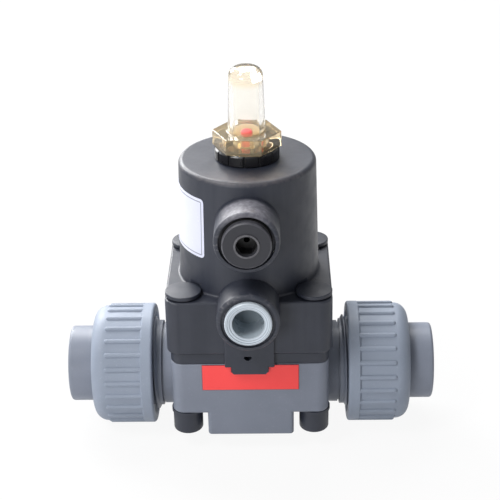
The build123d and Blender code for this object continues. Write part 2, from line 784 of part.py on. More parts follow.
def make_piston():
    groove_low = piston_groove_z - piston_groove_width / 2
    groove_high = piston_groove_z + piston_groove_width / 2
    bore = stem_thread_radius + running_gap
    return turned([
        (bore, stem_shoulder_z),
        (piston_hub_radius, stem_shoulder_z),
        (piston_hub_radius, piston_disc_z),
        (piston_radius, piston_disc_z),
        (piston_radius, groove_low),
        (piston_groove_radius, groove_low),
        (piston_groove_radius, groove_high),
        (piston_radius, groove_high),
        (piston_radius, piston_rim_top_z),
        (piston_recess_radius, piston_rim_top_z),
        (piston_recess_radius, spring_seat_z),
        (piston_boss_radius, spring_seat_z),
        (piston_boss_radius, piston_boss_top_z),
        (bore, piston_boss_top_z),
    ])


def make_piston_seal():
    return ring_seal(piston_groove_radius + seal_gap + piston_seal_section, piston_seal_section,
                     piston_groove_z)


def make_piston_nut():
    nut = hex_prism(piston_nut_flats, piston_boss_top_z, piston_boss_top_z + piston_nut_height)
    return nut - upright(stem_thread_radius + running_gap, piston_boss_top_z - 1,
                         piston_boss_top_z + piston_nut_height + 1)


def make_spring(mean_radius, wire_radius, half_turns):
    # Half turns that lean to one side and the other by turns, between two flat ends ground level.
    ground = wire_radius * spring_ground_share
    low = spring_seat_z + seal_gap
    high = bell_ceiling_z - seal_gap
    first_z = low + wire_radius - ground
    rise = (high - wire_radius + ground - first_z) / half_turns
    wire_end = Plane.XZ * Circle(wire_radius)
    spring = None
    for index in range(-1, half_turns + 1):
        start_side = 1 if index % 2 == 0 else -1
        start_z = first_z + rise * min(max(index, 0), half_turns)
        end_z = first_z + rise * min(max(index + 1, 0), half_turns)
        start = Vector(start_side * mean_radius, 0, start_z)
        end = Vector(-start_side * mean_radius, 0, end_z)
        lean = Axis((start + end) / 2, (end - start).cross(Vector(0, -start_side, 0)))
        half_turn = revolve(Pos(start) * wire_end, axis=lean, revolution_arc=180)
        spring = half_turn if spring is None else spring + half_turn
    trim = mean_radius + 2 * wire_radius
    return spring & upright(trim, low, high)


def make_plate_seal():
    return ring_seal(plate_seal_mean_radius, plate_seal_section, plate_seal_z)


def make_indicator_rod():
    rod = upright(indicator_radius, stem_top_z, indicator_top_z)
    rod = fillet(rod.edges().group_by(Axis.Z)[-1], indicator_radius * 0.4)
    return rod + upright(indicator_pin_radius, stem_top_z - indicator_pin_length, stem_top_z + 1)


def make_cap_collar():
    bore_radius = sight_spigot_radius + bell_hole_clearance
    seal_recess_z = bell_top_z + collar_seal_recess_depth
    collar = turned([
        (bore_radius, seal_recess_z),
        (collar_seal_recess_radius, seal_recess_z),
        (collar_seal_recess_radius, bell_top_z),
        (collar_radius - collar_edge_chamfer, bell_top_z),
        (collar_radius, bell_top_z + collar_edge_chamfer),
        (collar_radius, hex_base_z - collar_edge_chamfer),
        (collar_radius - collar_edge_chamfer, hex_base_z),
        (bore_radius, hex_base_z),
    ])
    flute = upright(collar_flute_radius, bell_top_z - 1, hex_base_z + 1, (collar_radius, 0))
    for index in range(collar_flute_count):
        collar -= Rot(0, 0, collar_flute_turn + index * 360 / collar_flute_count) * flute
    return collar


def make_sight_cap_seal():
    return ring_seal(sight_seal_mean_radius, sight_seal_section, bell_top_z + sight_seal_section + seal_gap)


def make_sight_cap():
    hexagon = hex_prism(sight_hex_flats, hex_base_z, hex_top_z, turn=sight_hex_turn)
    hexagon = fillet(hexagon.edges(), sight_hex_edge_round)
    tube = flared_cone(sight_tube_bottom_radius, sight_tube_top_radius, hex_top_z, sight_top_z,
                       sight_tube_foot_round)
    tube = fillet(tube.edges().group_by(Axis.Z)[-1], sight_top_round)
    cap = hexagon + tube + upright(sight_spigot_radius, sight_spigot_bottom_z, hex_base_z)
    cap -= upright(sight_guide_radius, sight_spigot_bottom_z - 1, sight_guide_top_z)
    return cap - upright(sight_bore_radius, sight_guide_top_z, sight_bore_top_z)


save("valve_body", make_valve_body())
save("foot_inserts", *[make_foot_insert(y) for y in (-insert_spacing / 2, insert_spacing / 2)])
for side_name, side, rib_phase in (("left", -1, left_rib_phase), ("right", 1, right_rib_phase)):
    save(f"{side_name}_tailpiece", make_tailpiece(side))
    save(f"{side_name}_union_nut", make_union_nut(side, rib_phase))
    save(f"{side_name}_union_seal", make_union_seal(side))
save("diaphragm", make_diaphragm())
save("diaphragm_stud", make_diaphragm_stud())
save("compressor", make_compressor())
save("compressor_pin", cross_pin(compressor_pin_radius, compressor_hub_radius - 0.3))
save("stem", make_stem())
save("stem_seal", make_stem_seal())
save("stem_bush", make_stem_bush())
save("piston", make_piston())
save("piston_seal", make_piston_seal())
save("piston_nut", make_piston_nut())
save("closing_spring_outer", make_spring(
    outer_spring_radius, outer_spring_wire, outer_spring_half_turns))
save("closing_spring_inner", make_spring(
    inner_spring_radius, inner_spring_wire, inner_spring_half_turns))
save("intermediate_plate", make_plate())
save("plate_seal", make_plate_seal())
save("actuator_housing", make_housing())
save("flange_bolts", *[make_flange_bolt(place) for place in corner_places])
save("bolt_washers", *[make_bolt_washer(place) for place in corner_places])
save("bolt_nuts", *[make_bolt_nut(place) for place in corner_places])
save("bottom_caps", *[make_bottom_cap(place) for place in corner_places])
save("top_caps", *[make_top_cap(place) for place in corner_places])
save("port_plug", make_port_plug())
save("vent_plug", make_vent_plug())
save("vent_plug_seal", make_vent_plug_seal())
save("indicator_rod", make_indicator_rod())
save("cap_collar", make_cap_collar())
save("sight_cap_seal", make_sight_cap_seal())
save("sight_cap", make_sight_cap())
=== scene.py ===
import json
import math

import bpy
from mathutils import Matrix, Vector


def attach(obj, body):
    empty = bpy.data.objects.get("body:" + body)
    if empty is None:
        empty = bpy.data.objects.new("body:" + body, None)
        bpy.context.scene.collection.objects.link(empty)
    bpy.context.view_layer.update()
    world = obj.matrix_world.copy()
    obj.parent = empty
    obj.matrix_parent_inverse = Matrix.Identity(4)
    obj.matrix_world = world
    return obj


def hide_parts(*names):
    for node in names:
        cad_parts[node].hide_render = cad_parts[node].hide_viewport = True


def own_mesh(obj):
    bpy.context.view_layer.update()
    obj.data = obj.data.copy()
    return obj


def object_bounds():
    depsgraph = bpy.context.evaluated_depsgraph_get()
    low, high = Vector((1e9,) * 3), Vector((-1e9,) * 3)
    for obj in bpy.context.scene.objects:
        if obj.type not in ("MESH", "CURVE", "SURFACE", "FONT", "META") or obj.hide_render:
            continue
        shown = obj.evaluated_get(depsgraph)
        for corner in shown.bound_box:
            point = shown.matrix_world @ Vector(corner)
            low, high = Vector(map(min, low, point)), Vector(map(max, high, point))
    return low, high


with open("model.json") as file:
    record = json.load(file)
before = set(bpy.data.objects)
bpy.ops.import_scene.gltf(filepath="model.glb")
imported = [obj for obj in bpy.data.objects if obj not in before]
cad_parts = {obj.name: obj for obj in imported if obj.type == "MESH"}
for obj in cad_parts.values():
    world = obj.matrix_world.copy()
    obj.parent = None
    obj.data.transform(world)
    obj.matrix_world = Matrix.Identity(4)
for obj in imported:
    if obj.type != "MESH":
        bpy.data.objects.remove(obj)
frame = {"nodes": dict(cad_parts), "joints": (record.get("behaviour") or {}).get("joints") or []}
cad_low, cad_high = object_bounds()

MM = 0.001
tolerance = 0.001 * MM
nodes = frame["nodes"]

# The flow axis, read from the frame.
flow_joint = next(j for j in frame["joints"] if j["name"] == "right_nut_turn")
flow_centre = Vector((0, 0, flow_joint["pos_m"][2]))


# Modelling helpers

def deselect():
    if bpy.context.object and bpy.context.object.mode != "OBJECT":
        bpy.ops.object.mode_set(mode="OBJECT")
    bpy.ops.object.select_all(action="DESELECT")


def begin(name, scale=(1, 1, 1)):
    # Names the primitive just added, stretches it and puts its place in its mesh.
    piece = bpy.context.object
    piece.name = name
    piece.data.name = name
    piece.scale = scale
    bpy.ops.object.transform_apply(location=True, rotation=True, scale=True)
    return piece


def pick(piece, test, kind="FACE"):
    # Selects the faces, edges or vertices that pass a test, in edit mode.
    bpy.context.view_layer.objects.active = piece
    bpy.ops.object.mode_set(mode="EDIT")
    bpy.ops.mesh.select_mode(type=kind)
    bpy.ops.mesh.select_all(action="DESELECT")
    bpy.ops.object.mode_set(mode="OBJECT")
    mesh = piece.data
    if kind == "FACE":
        for face in mesh.polygons:
            face.select = test(face)
    elif kind == "EDGE":
        for edge in mesh.edges:
            edge.select = test([mesh.vertices[index].co for index in edge.vertices])
    else:
        for vertex in mesh.vertices:
            vertex.select = test(vertex.co)
    bpy.ops.object.mode_set(mode="EDIT")


def close():
    bpy.ops.object.mode_set(mode="OBJECT")


def paint_selected(piece, index):
    for face in piece.data.polygons:
        if face.select:
            face.material_index = index


def modify(piece, kind, **settings):
    deselect()
    piece.select_set(True)
    bpy.context.view_layer.objects.active = piece
    modifier = piece.modifiers.new(kind.title(), kind)
    for key, value in settings.items():
        setattr(modifier, key, value)
    bpy.ops.object.modifier_apply(modifier=modifier.name)


def cut(place, direction):
    # Cuts all the faces of the piece in edit mode along a plane.
    bpy.ops.mesh.select_all(action="SELECT")
    bpy.ops.mesh.bisect(plane_co=place, plane_no=direction)


def tidy_normals(piece):
    deselect()
    piece.select_set(True)
    bpy.context.view_layer.objects.active = piece
    bpy.ops.object.mode_set(mode="EDIT")
    bpy.ops.mesh.select_all(action="SELECT")
    bpy.ops.mesh.remove_doubles(threshold=tolerance)
    bpy.ops.mesh.normals_make_consistent(inside=False)
    bpy.ops.object.mode_set(mode="OBJECT")


def smooth(piece, degrees=35):
    deselect()
    piece.select_set(True)
    bpy.context.view_layer.objects.active = piece
    bpy.ops.object.shade_smooth_by_angle(angle=math.radians(degrees))


# Material helpers

def new_material(name, roughness, ior=1.5):
    material = bpy.data.materials.new(name)
    material.use_nodes = True
    shader = material.node_tree.nodes["Principled BSDF"]
    shader.inputs["Roughness"].default_value = roughness
    shader.inputs["IOR"].default_value = ior
    return material, material.node_tree, shader


def object_coordinates(tree):
    return tree.nodes.new("ShaderNodeTexCoord").outputs["Object"]


def coordinate(tree, place, axis):
    split = tree.nodes.new("ShaderNodeSeparateXYZ")
    tree.links.new(place, split.inputs["Vector"])
    return split.outputs[axis]


def noise(tree, coordinates, scale, detail, stretch=None):
    texture = tree.nodes.new("ShaderNodeTexNoise")
    texture.inputs["Scale"].default_value = scale
    texture.inputs["Detail"].default_value = detail
    if stretch:
        mapping = tree.nodes.new("ShaderNodeMapping")
        mapping.inputs["Scale"].default_value = stretch
        tree.links.new(coordinates, mapping.inputs["Vector"])
        coordinates = mapping.outputs["Vector"]
    tree.links.new(coordinates, texture.inputs["Vector"])
    return texture.outputs["Fac"]


def spread(tree, value, low, high, to_low, to_high):
    fit = tree.nodes.new("ShaderNodeMapRange")
    fit.inputs["From Min"].default_value = low
    fit.inputs["From Max"].default_value = high
    fit.inputs["To Min"].default_value = to_low
    fit.inputs["To Max"].default_value = to_high
    tree.links.new(value, fit.inputs["Value"])
    return fit.outputs["Result"]


def rise(tree, value, start, end):
    return spread(tree, value, start, end, 0.0, 1.0)


def fall(tree, value, start, end):
    return spread(tree, value, start, end, 1.0, 0.0)


def patchy(tree, place, scale, low, high, least=0.0, most=1.0, detail=3.0, stretch=None):
    # Noise between its levels low and high, spread from least to most.
    return spread(tree, noise(tree, place, scale, detail, stretch), low, high, least, most)


def calculate(tree, operation, first, second):
    node = tree.nodes.new("ShaderNodeMath")
    node.operation = operation
    for socket, value in zip(node.inputs, (first, second)):
        if isinstance(value, (int, float)):
            socket.default_value = value
        else:
            tree.links.new(value, socket)
    return node.outputs[0]


def product(tree, *factors):
    result = factors[0]
    for factor in factors[1:]:
        result = calculate(tree, "MULTIPLY", result, factor)
    return result


def blend_colour(tree, factor, first, second):
    mix = tree.nodes.new("ShaderNodeMix")
    mix.data_type = "RGBA"
    tree.links.new(factor, mix.inputs["Factor"])
    for socket, colour in ((mix.inputs[6], first), (mix.inputs[7], second)):
        if isinstance(colour, tuple):
            socket.default_value = (*colour, 1)
        else:
            tree.links.new(colour, socket)
    return mix.outputs[2]


def bump(tree, shader, height, strength, distance):
    node = tree.nodes.new("ShaderNodeBump")
    node.inputs["Strength"].default_value = strength
    node.inputs["Distance"].default_value = distance
    tree.links.new(height, node.inputs["Height"])
    tree.links.new(node.outputs["Normal"], shader.inputs["Normal"])


# Marks on moulded plastic, their scales in cells per metre

tone_scale = 90.0
speck_scale = 1500.0
speck_strength = 0.3
speck_gain = 1.6
gloss_scale = 260.0
gloss_change = 0.06
grain_scale = 2600.0
grain_strength = 0.35
plain_grain = 0.03 * MM
fine_grain = 0.01 * MM


def moulded_plastic(name, colour, shade, roughness, grain_depth=plain_grain, marks_and_painted_light=None):
    # Moulded surface: a soft change of tone, light specks and a fine grain. A function given as the
    # last argument takes the tree, the place and the colour, and gives back the colour with its
    # marks and its painted shade and highlights.
    material, tree, shader = new_material(name, roughness)
    place = object_coordinates(tree)
    tone = patchy(tree, place, tone_scale, low=0.35, high=0.65, detail=4.0)
    marked = blend_colour(tree, tone, colour, shade)
    speck_colour = tuple(min(1.0, channel * speck_gain) for channel in colour)
    specks = patchy(tree, place, speck_scale, low=0.64, high=0.8, most=speck_strength, detail=2.0)
    marked = blend_colour(tree, specks, marked, speck_colour)
    # The function adds wear marks and painted shade and highlights to the colour.
    if marks_and_painted_light:
        marked = marks_and_painted_light(tree, place, marked)
    tree.links.new(marked, shader.inputs["Base Color"])
    gloss = patchy(tree, place, gloss_scale, low=0.3, high=0.7,
                   least=roughness - gloss_change, most=roughness + gloss_change)
    tree.links.new(gloss, shader.inputs["Roughness"])
    grain = noise(tree, place, grain_scale, detail=2.0)
    bump(tree, shader, grain, grain_strength, grain_depth)
    return material


# Wear and painted sheen on the housing: where they lie, and their colours and scales

bell_top_z = 93.95 * MM
bell_front_y = -24.0 * MM
# The crown of the upper boss is painted lighter: a painted highlight, partly dust.
boss_dust_and_sheen_back_y = bell_front_y
boss_dust_and_sheen_front_y = bell_front_y - 2 * MM
boss_dust_and_sheen_low_z = 84.0 * MM
boss_dust_and_sheen_full_z = 88.0 * MM
boss_dust_and_sheen_least = 0.5
boss_dust_and_sheen_colour = (0.20, 0.195, 0.225)
# The front of the bell's top is painted lighter: a painted sheen.
top_sheen_low_z = bell_top_z - 1.3 * MM
top_sheen_full_z = bell_top_z - 0.5 * MM
top_sheen_full_y = bell_front_y + 3 * MM
top_sheen_back_y = bell_front_y + 13 * MM
top_sheen_least = 0.7
top_sheen_colour = (0.085, 0.078, 0.090)
rim_low_z = 92.3 * MM
rim_full_z = 92.9 * MM
rim_fade_z = bell_top_z - 0.3 * MM
rim_high_z = bell_top_z - 0.02 * MM
rim_colour = (0.075, 0.072, 0.080)
rubbed_full_y = bell_front_y - 11 * MM
rubbed_back_y = bell_front_y - 6 * MM
rubbed_colour = (0.17, 0.165, 0.18)
rubbed_scale = 520.0
rubbed_stretch = (1.0, 0.6, 2.0)
streak_colour = (0.036, 0.040, 0.056)
streak_scale = 330.0
streak_stretch = (1.0, 1.0, 0.06)
mottle_scale = 650.0
patch_scale = 110.0


def housing_wear_and_painted_sheen(tree, place, colour):
    # Painted highlight, partly dust, on the crown of the upper boss, painted sheen on the front of
    # the bell's top, a worn line round its rim, rubbed boss edges and faint upright streaks.
    height = coordinate(tree, place, "Z")
    depth = coordinate(tree, place, "Y")
    mottle = patchy(tree, place, mottle_scale, low=0.42, high=0.62, detail=6.0)
    patches = patchy(tree, place, patch_scale, low=0.42, high=0.62, least=0.25, detail=2.0)

    # Painted highlight, partly dust, on the crown of the upper boss.
    crown = product(tree, fall(tree, depth, boss_dust_and_sheen_front_y, boss_dust_and_sheen_back_y),
                    rise(tree, height, boss_dust_and_sheen_low_z, boss_dust_and_sheen_full_z))
    painted_sheen = product(tree, crown, spread(tree, mottle, 0.0, 1.0, boss_dust_and_sheen_least, 1.0))
    colour = blend_colour(tree, painted_sheen, colour, boss_dust_and_sheen_colour)

    # Painted sheen on the front of the bell's top.
    top_front = product(tree, rise(tree, height, top_sheen_low_z, top_sheen_full_z),
                        fall(tree, depth, top_sheen_full_y, top_sheen_back_y))
    painted_sheen = product(tree, top_front, spread(tree, mottle, 0.0, 1.0, top_sheen_least, 1.0))
    colour = blend_colour(tree, painted_sheen, colour, top_sheen_colour)

    rim = product(tree, rise(tree, height, rim_low_z, rim_full_z),
                  fall(tree, height, rim_fade_z, rim_high_z), mottle, patches)
    colour = blend_colour(tree, rim, colour, rim_colour)

    boss_edges = fall(tree, depth, rubbed_full_y, rubbed_back_y)
    scratches = patchy(tree, place, rubbed_scale, low=0.52, high=0.68, most=0.6, detail=6.0,
                       stretch=rubbed_stretch)
    rubbed = product(tree, boss_edges, scratches, patches)
    colour = blend_colour(tree, rubbed, colour, rubbed_colour)

    streaks = patchy(tree, place, streak_scale, low=0.4, high=0.66, most=0.35,
                     stretch=streak_stretch)
    return blend_colour(tree, streaks, colour, streak_colour)


def distance_from_port(tree, place, port_z):
    across = coordinate(tree, place, "X")
    height = calculate(tree, "SUBTRACT", coordinate(tree, place, "Z"), port_z)
    squares = tree.nodes.new("ShaderNodeMath")
    squares.operation = "MULTIPLY_ADD"
    for socket, value in zip(squares.inputs, (across, across, product(tree, height, height))):
        tree.links.new(value, socket)
    return calculate(tree, "POWER", squares.outputs[0], 0.5)


def ring_mask(tree, distance, inner, outer, soft):
    return product(tree, rise(tree, distance, inner - soft, inner),
                   fall(tree, distance, outer, outer + soft))


# Painted shade and painted highlights on the plug in the upper port

upper_port_z = 78.75 * MM
# Painted shade in the bore and painted highlights on two rings round it.
vent_bore_radius = 3.3 * MM
vent_bore_edge = 3.5 * MM
vent_bore_painted_shade_colour = (0.001, 0.001, 0.0015)
vent_ring_inner = 3.6 * MM
vent_ring_outer = 4.1 * MM
vent_ring_soft = 0.12 * MM
vent_ring_painted_highlight_colour = (0.12, 0.118, 0.13)
vent_rim_inner = 7.6 * MM
vent_rim_outer = 8.0 * MM
vent_rim_soft = 0.1 * MM
vent_rim_painted_highlight_colour = (0.085, 0.085, 0.10)
vent_highlight_mottle_scale = 500.0


def vent_plug_painted_light(tree, place, colour):
    # The bore is painted black as shade, and the ring round it and the plug's outer rim are painted
    # lighter as highlights, in a mottle.
    distance = distance_from_port(tree, place, upper_port_z)
    bore = fall(tree, distance, vent_bore_radius, vent_bore_edge)
    colour = blend_colour(tree, bore, colour, vent_bore_painted_shade_colour)
    highlight_mottle = patchy(tree, place, vent_highlight_mottle_scale, low=0.35, high=0.6, least=0.35, detail=4.0)
    ring = ring_mask(tree, distance, vent_ring_inner, vent_ring_outer, vent_ring_soft)
    colour = blend_colour(tree, product(tree, ring, highlight_mottle), colour, vent_ring_painted_highlight_colour)
    rim = ring_mask(tree, distance, vent_rim_inner, vent_rim_outer, vent_rim_soft)
    return blend_colour(tree, product(tree, rim, highlight_mottle), colour, vent_rim_painted_highlight_colour)


# Painted shade on the white plug in the lower port

lower_port_z = 49.75 * MM
# Painted shade: grey rings at the steps of the mouth and a darker bore.
mouth_ring_radii = (7.3 * MM, 6.85 * MM, 6.15 * MM, 5.45 * MM)
mouth_ring_width = 0.12 * MM
mouth_ring_soft = 0.1 * MM
mouth_ring_strength = 0.5
mouth_ring_painted_shade_colour = (0.16, 0.19, 0.22)
plug_bore_radius = 5.2 * MM
plug_bore_edge = 5.4 * MM
plug_bore_strength = 0.85
plug_bore_painted_shade_colour = (0.15, 0.19, 0.215)


def white_plug_painted_shade(tree, place, colour):
    # Fine grey rings are painted shade at the steps of the mouth, and the bore is painted darker as
    # shade.
    distance = distance_from_port(tree, place, lower_port_z)
    for radius in mouth_ring_radii:
        ring = ring_mask(tree, distance, radius, radius + mouth_ring_width, mouth_ring_soft)
        ring = product(tree, ring, mouth_ring_strength)
        colour = blend_colour(tree, ring, colour, mouth_ring_painted_shade_colour)
    bore = product(tree, fall(tree, distance, plug_bore_radius, plug_bore_edge), plug_bore_strength)
    return blend_colour(tree, bore, colour, plug_bore_painted_shade_colour)


# Metal with turned lines

line_scale = 900.0
line_stretch = (1.0, 1.0, 8.0)
line_shade = 0.8
line_smoother = 0.08
line_rougher = 0.1
line_strength = 0.2
line_depth = 0.02 * MM


def machined_metal(name, colour, roughness):
    material, tree, shader = new_material(name, roughness)
    place = object_coordinates(tree)
    lines = noise(tree, place, line_scale, detail=3.0, stretch=line_stretch)
    darker = tuple(channel * line_shade for channel in colour)
    tree.links.new(blend_colour(tree, lines, colour, darker), shader.inputs["Base Color"])
    shader.inputs["Metallic"].default_value = 1.0
    gloss = spread(tree, lines, 0.3, 0.7, roughness - line_smoother, roughness + line_rougher)
    tree.links.new(gloss, shader.inputs["Roughness"])
    bump(tree, shader, lines, line_strength, line_depth)
    return material


# The sight cap is amber where it is thick, in its hexagon and its crown, and clear in its tube.

hexagon_top_z = 103.35 * MM
hexagon_fade_z = 104.55 * MM
crown_start_z = 118.8 * MM
crown_full_z = 120.8 * MM
crown_amber = 0.45
amber_shade = 0.96
clear_transmission = 0.97
amber_transmission = 0.80
sight_ior = 1.45
sight_roughness = 0.05
sight_tone_scale = 240.0
sight_gloss_scale = 500.0
sight_wave_scale = 260.0
sight_wave_strength = 0.12
sight_wave_depth = 0.04 * MM


def sight_plastic(name, amber, clear):
    material, tree, shader = new_material(name, sight_roughness, sight_ior)
    place = object_coordinates(tree)
    height = coordinate(tree, place, "Z")
    in_hexagon = fall(tree, height, hexagon_top_z, hexagon_fade_z)
    in_crown = spread(tree, height, crown_start_z, crown_full_z, 0.0, crown_amber)
    thick = calculate(tree, "MAXIMUM", in_hexagon, in_crown)
    tone = patchy(tree, place, sight_tone_scale, low=0.35, high=0.65)
    shade = tuple(channel * amber_shade for channel in amber)
    warm = blend_colour(tree, tone, amber, shade)
    tree.links.new(blend_colour(tree, thick, clear, warm), shader.inputs["Base Color"])
    passing = spread(tree, thick, 0.0, 1.0, clear_transmission, amber_transmission)
    tree.links.new(passing, shader.inputs["Transmission Weight"])
    gloss = patchy(tree, place, sight_gloss_scale, low=0.35, high=0.75, least=0.03, most=0.08)
    tree.links.new(gloss, shader.inputs["Roughness"])
    wave = noise(tree, place, sight_wave_scale, detail=2.0)
    bump(tree, shader, wave, sight_wave_strength, sight_wave_depth)
    return material


# Finishes of the pieces

body_grey = moulded_plastic("body_grey", (0.192, 0.214, 0.268), (0.174, 0.195, 0.244), 0.48)
nut_grey = moulded_plastic("nut_grey", (0.262, 0.302, 0.378), (0.240, 0.278, 0.348), 0.56)
black_plastic = moulded_plastic("black_plastic", (0.024, 0.028, 0.043), (0.019, 0.023, 0.036), 0.46)
# The housing's finish carries painted sheen on its top and on the crown of the upper boss.
housing_black = moulded_plastic("housing_black", (0.024, 0.028, 0.043), (0.019, 0.023, 0.036), 0.46,
                                marks_and_painted_light=housing_wear_and_painted_sheen)
gloss_black = moulded_plastic("gloss_black", (0.006, 0.006, 0.008), (0.004, 0.004, 0.005), 0.3,
                              grain_depth=fine_grain)
# The vent plug's finish carries painted shade in its bore and painted highlights on its rings.
plug_black = moulded_plastic("plug_black", (0.024, 0.025, 0.033), (0.018, 0.019, 0.026), 0.42,
                             marks_and_painted_light=vent_plug_painted_light)
# The port plug's finish carries painted shade at the steps of its mouth and in its bore.
white_plastic = moulded_plastic("white_plastic", (0.62, 0.69, 0.76), (0.56, 0.63, 0.70), 0.3,
                                grain_depth=fine_grain, marks_and_painted_light=white_plug_painted_shade)
red_plastic = moulded_plastic("red_plastic", (0.97, 0.066, 0.066), (0.94, 0.060, 0.060), 0.42)
# Darker red painted as shade on the sides and the thin front border of the marking plate.
plate_edge_painted_shade_red = moulded_plastic("plate_edge_painted_shade_red", (0.30, 0.02, 0.03), (0.22, 0.015, 0.02), 0.5)
red_rod = moulded_plastic("red_rod", (0.95, 0.05, 0.06), (0.90, 0.04, 0.05), 0.3)
nylon = moulded_plastic("nylon", (0.72, 0.71, 0.66), (0.66, 0.65, 0.6), 0.45)
piston_plastic = moulded_plastic("piston_plastic", (0.1, 0.1, 0.11), (0.08, 0.08, 0.09), 0.5)
black_rubber = moulded_plastic("black_rubber", (0.018, 0.018, 0.018), (0.013, 0.013, 0.013), 0.62)
label_white = moulded_plastic("label_white", (0.68, 0.70, 0.84), (0.65, 0.67, 0.81), 0.45,
                              grain_depth=fine_grain)
label_line = moulded_plastic("label_line", (0.30, 0.31, 0.37), (0.26, 0.27, 0.33), 0.4,
                             grain_depth=fine_grain)
steel = machined_metal("steel", (0.62, 0.62, 0.64), 0.3)
spring_steel = machined_metal("spring_steel", (0.4, 0.4, 0.43), 0.35)
brass = machined_metal("brass", (0.78, 0.58, 0.26), 0.3)
amber_clear = sight_plastic("amber_clear", (1.0, 0.81, 0.50), (0.99, 0.975, 0.935))

finishes = {
    body_grey: ["valve_body", "left_tailpiece", "right_tailpiece"],
    nut_grey: ["left_union_nut", "right_union_nut"],
    housing_black: ["actuator_housing"],
    black_plastic: ["intermediate_plate", "top_caps", "bottom_caps"],
    gloss_black: ["cap_collar"],
    plug_black: ["vent_plug"],
    white_plastic: ["port_plug"],
    red_rod: ["indicator_rod"],
    nylon: ["stem_bush"],
    piston_plastic: ["piston", "compressor"],
    black_rubber: ["left_union_seal", "right_union_seal", "diaphragm", "stem_seal", "piston_seal",
                   "plate_seal", "vent_plug_seal", "sight_cap_seal"],
    steel: ["diaphragm_stud", "compressor_pin", "stem", "piston_nut", "flange_bolts",
            "bolt_washers", "bolt_nuts"],
    spring_steel: ["closing_spring_outer", "closing_spring_inner"],
    brass: ["foot_inserts"],
    amber_clear: ["sight_cap"],
}
for finish, names in finishes.items():
    for name in names:
        node = nodes[name]
        node.data.materials.clear()
        node.data.materials.append(finish)


# Union threads, size G1, right-handed on both sides

inch = 25.4 * MM
threads_per_inch = 11
thread_pitch = inch / threads_per_inch
body_thread_root = 15.05 * MM
body_thread_crest = 16.5 * MM
nut_thread_root = 16.8 * MM
nut_thread_crest = 15.4 * MM
body_thread_first = 32.2 * MM
body_thread_turns = 4
nut_thread_lag = 1.5
nut_thread_first = body_thread_first + nut_thread_lag * thread_pitch
nut_thread_turns = 4
ridge_foot = 0.76 * thread_pitch
ridge_crest = 0.14 * thread_pitch
steps_per_turn = 64


def thread_ridge(name, side, root, crest, first, turns, finish, body):
    # One V-shaped ridge wound round the flow axis in whole turns, its foot sunk into the wall that
    # carries it. It starts and ends at the back, where its crest runs out into the wall.
    deselect()
    bpy.ops.mesh.primitive_plane_add(size=1, location=(side * first, (root + crest) / 2, 0))
    ridge = begin(name, (ridge_foot, abs(crest - root), 1))
    pick(ridge, lambda point: abs(point.y - crest) < tolerance, "VERT")
    bpy.ops.transform.resize(value=(ridge_crest / ridge_foot, 1, 1),
                             center_override=(side * first, crest, 0))
    bpy.ops.mesh.select_all(action="SELECT")
    bpy.ops.mesh.delete(type="ONLY_FACE")
    close()
    steps = steps_per_turn * turns
    last = first + turns * thread_pitch
    modify(ridge, "SCREW", axis="X", angle=side * 2 * math.pi * turns,
           screw_offset=side * turns * thread_pitch, steps=steps, render_steps=steps,
           use_smooth_shade=False)

    def at_crest_end(point):
        at_crest = abs(point.z) < tolerance and abs(point.y - crest) < tolerance
        return at_crest and any(abs(point.x - side * end) < ridge_crest for end in (first, last))

    pick(ridge, at_crest_end, "VERT")
    bpy.ops.transform.translate(value=(0, root - crest, 0))
    bpy.ops.mesh.select_all(action="SELECT")
    bpy.ops.mesh.fill_holes(sides=4)
    bpy.ops.mesh.select_all(action="SELECT")
    bpy.ops.transform.translate(value=flow_centre)
    close()
    tidy_normals(ridge)
    smooth(ridge)
    ridge.data.materials.append(finish)
    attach(ridge, body)


# Marking plate on the front of the body, open at the top where the tab hangs over it

plate_low_x = -16.3 * MM
plate_high_x = 16.6 * MM
plate_low_z = 18.4 * MM
plate_high_z = 28.2 * MM
plate_back_y = -24.4 * MM
plate_front_y = -25.2 * MM
tab_opening_x = 6.3 * MM
tab_opening_z = 25.5 * MM
plate_edge = 0.14 * MM
plate_crown = 0.08 * MM


def marking_plate():
    deselect()
    middle = ((plate_low_x + plate_high_x) / 2, plate_back_y, (plate_low_z + plate_high_z) / 2)
    bpy.ops.mesh.primitive_plane_add(size=1, location=middle, rotation=(math.pi / 2, 0, 0))
    plate = begin("marking_plate", (plate_high_x - plate_low_x, plate_high_z - plate_low_z, 1))
    pick(plate, lambda face: True)
    cut((-tab_opening_x, 0, 0), (1, 0, 0))
    cut((tab_opening_x, 0, 0), (1, 0, 0))
    cut((0, 0, tab_opening_z), (0, 0, 1))
    close()
    pick(plate, lambda face: abs(face.center.x) < tab_opening_x and face.center.z > tab_opening_z)
    bpy.ops.mesh.delete(type="FACE")
    bpy.ops.mesh.select_all(action="SELECT")
    forward = (0, plate_front_y - plate_back_y, 0)
    bpy.ops.mesh.extrude_region_move(TRANSFORM_OT_translate={"value": forward})
    close()
    pick(plate, lambda face: face.center.y < plate_front_y + tolerance)
    bpy.ops.mesh.inset(thickness=plate_edge, depth=plate_crown)
    close()
    tidy_normals(plate)
    # The sides and the thin border round the plate's front take the darker red: painted shade at
    # its edge.
    plate.data.materials.append(plate_edge_painted_shade_red)
    plate.data.materials.append(red_plastic)
    pick(plate, lambda face: face.center.y < plate_front_y - plate_crown + tolerance)
    close()
    paint_selected(plate, 1)
    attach(plate, "valve")


# Label round the left of the bell

label_low_z = 65.3 * MM
label_high_z = 86.4 * MM
label_front_angle = -37.5
label_back_angle = -128.0
label_corner = 1.45 * MM
label_corner_steps = 5
label_border = 0.9 * MM
label_line_width = 0.4 * MM
label_gap = 0.02 * MM
label_thickness = 0.1 * MM
label_columns = 60
label_radius = 23.45 * MM


